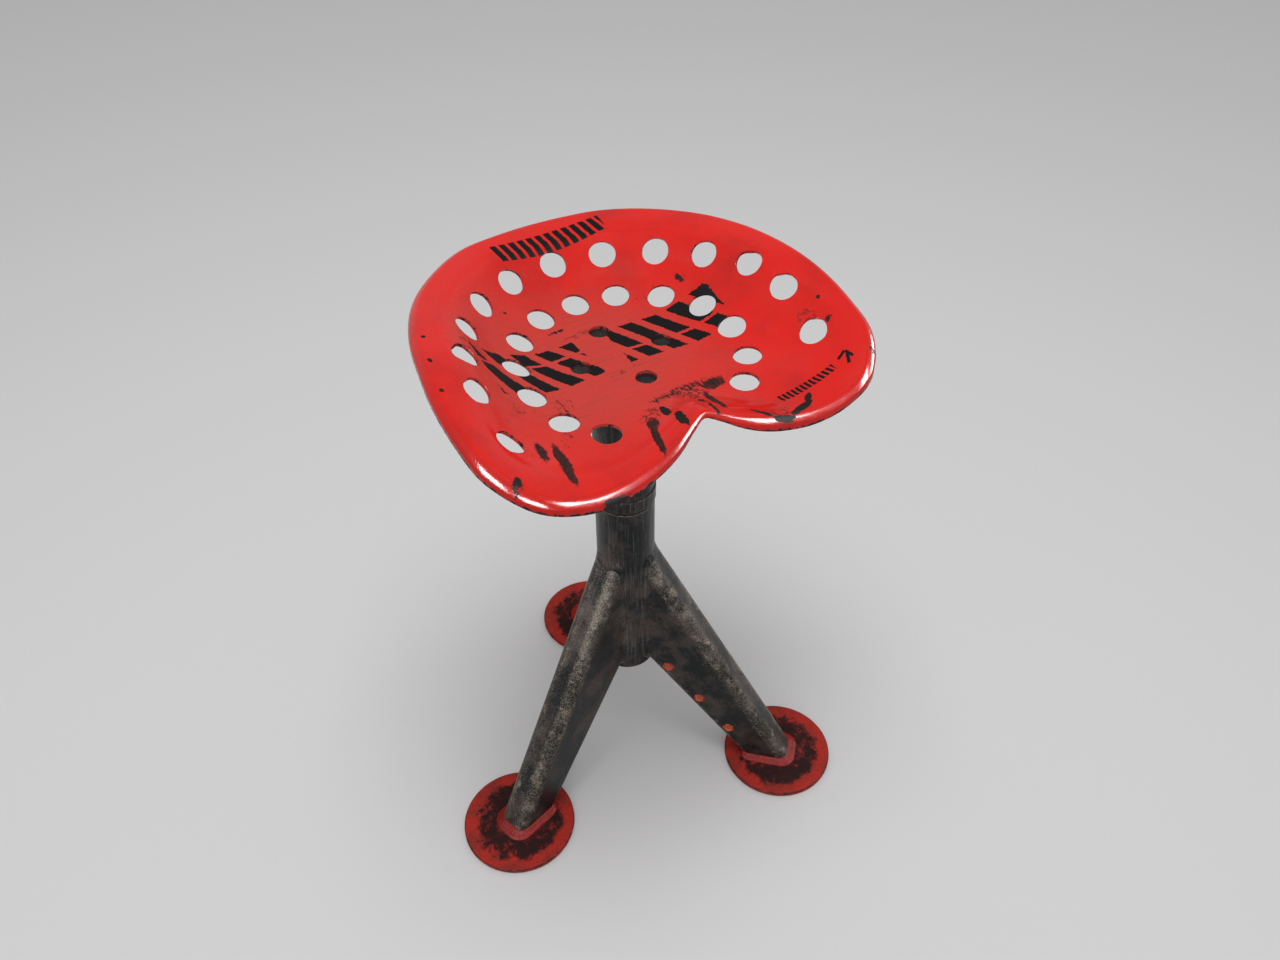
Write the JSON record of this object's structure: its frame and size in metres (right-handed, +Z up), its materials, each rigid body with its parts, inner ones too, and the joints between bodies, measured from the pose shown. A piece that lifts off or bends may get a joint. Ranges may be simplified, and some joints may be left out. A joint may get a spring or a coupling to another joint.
{
  "type": "tractor seat stool",
  "caption": "Swivel stool with a dished, perforated steel pan seat and a raised front ridge, on a steel tube and a tripod of tapered welded legs with round foot plates.",
  "frame": {"origin": "middle of the footprint's bounding box, on the floor under the feet", "axes": "+Z up; the seat's front, with the raised ridge, faces -Y at rest"},
  "size_m": [0.4326, 0.4294, 0.61],
  "materials": {
    "red_paint": "glossy enamel, chipped and scuffed to dark steel",
    "dull_red_paint": "worn satin enamel",
    "black_steel": "blackened, oiled, with brown and grey flecks",
    "weld_steel": "blackened weld bead",
    "turned_steel": "turned, oiled",
    "bronze": "machined bronze"
  },
  "bodies": {
    "base": {"pedestal_tube": "black_steel", "upper_bush_ring": "black_steel", "lower_bush_ring": "black_steel", "upper_bush": "bronze", "lower_bush": "bronze", "thrust_washer": "bronze", "leg_left": "black_steel", "leg_right": "black_steel", "leg_back": "black_steel", "leg_weld_left": "weld_steel", "leg_weld_right": "weld_steel", "leg_weld_back": "weld_steel", "leg_plug_upper": "dull_red_paint", "leg_plug_middle": "dull_red_paint", "leg_plug_lower": "dull_red_paint", "foot_left": "dull_red_paint", "foot_right": "dull_red_paint", "foot_back": "dull_red_paint", "foot_weld_left": "dull_red_paint", "foot_weld_right": "dull_red_paint", "foot_weld_back": "dull_red_paint"},
    "seat": {"seat_pan": "red_paint", "mounting_plate": "black_steel", "seat_weld": "weld_steel", "plate_weld": "weld_steel", "head_tube": "black_steel", "swivel_collar": "black_steel", "spindle": "turned_steel", "keeper_washer": "turned_steel", "keeper_nut": "turned_steel"}
  },
  "joints": [
    {"name": "seat_swivel", "type": "hinge", "parent": "base", "child": "seat", "pos_m": [0.02197, -0.0253, 0.383], "axis": [0, 0, 1], "continuous": true}
  ]
}
